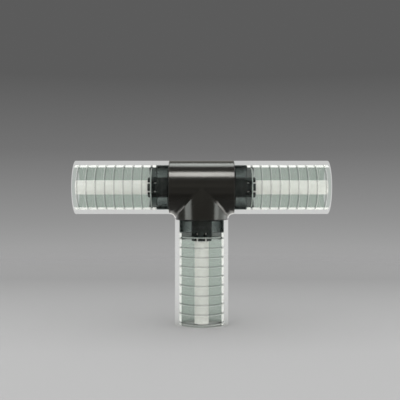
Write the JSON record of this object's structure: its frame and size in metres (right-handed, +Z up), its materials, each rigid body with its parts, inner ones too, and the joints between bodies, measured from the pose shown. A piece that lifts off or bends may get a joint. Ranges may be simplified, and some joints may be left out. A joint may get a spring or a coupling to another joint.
{
  "type": "tee fitting",
  "caption": "Gloss black tee fitting flush with clear grooved double-wall tube tails; sealed spigots and slotted collets hold them, and each tail swivels and pulls off.",
  "frame": {"origin": "centre of the cut end of the branch tube, on which the part stands", "axes": "+X along the run towards the right tube, +Y away from the viewer, +Z up, opposite to the branch"},
  "size_m": [0.2838, 0.06, 0.1839],
  "materials": {
    "gloss_black": "moulded, gloss",
    "satin_black": "moulded, satin",
    "seal_rubber": "matt",
    "clear_tube": "clear, polished",
    "grey_green_liner": "translucent",
    "white_core": "satin",
    "pale_disc": "translucent"
  },
  "bodies": {
    "fitting": {"tee_body": "gloss_black", "left_spigot": "satin_black", "left_core_seal": "seal_rubber", "left_collet": "satin_black", "left_centring_disc": "pale_disc", "right_spigot": "satin_black", "right_core_seal": "seal_rubber", "right_collet": "satin_black", "right_centring_disc": "pale_disc", "branch_spigot": "satin_black", "branch_core_seal": "seal_rubber", "branch_collet": "satin_black", "branch_centring_disc": "pale_disc"},
    "left_seal": {"left_tube_seal": "seal_rubber"},
    "left_tail": {"left_outer_tube": "clear_tube", "left_liner": "grey_green_liner", "left_core_tube": "white_core"},
    "right_seal": {"right_tube_seal": "seal_rubber"},
    "right_tail": {"right_outer_tube": "clear_tube", "right_liner": "grey_green_liner", "right_core_tube": "white_core"},
    "branch_seal": {"branch_tube_seal": "seal_rubber"},
    "branch_tail": {"branch_outer_tube": "clear_tube", "branch_liner": "grey_green_liner", "branch_core_tube": "white_core"}
  },
  "joints": [
    {"name": "left_swivel", "type": "hinge", "parent": "fitting", "child": "left_seal", "pos_m": [0, 0, 0.1539], "axis": [-1, 0, 0], "continuous": true},
    {"name": "left_pull_off", "type": "slide", "parent": "left_seal", "child": "left_tail", "axis": [-1, 0, 0], "range_m": [0, 0.036]},
    {"name": "right_swivel", "type": "hinge", "parent": "fitting", "child": "right_seal", "pos_m": [0, 0, 0.1539], "axis": [1, 0, 0], "continuous": true},
    {"name": "right_pull_off", "type": "slide", "parent": "right_seal", "child": "right_tail", "axis": [1, 0, 0], "range_m": [0, 0.036]},
    {"name": "branch_swivel", "type": "hinge", "parent": "fitting", "child": "branch_seal", "pos_m": [0, 0, 0.1539], "axis": [0, 0, -1], "continuous": true},
    {"name": "branch_pull_off", "type": "slide", "parent": "branch_seal", "child": "branch_tail", "axis": [0, 0, -1], "range_m": [0, 0.036]}
  ]
}
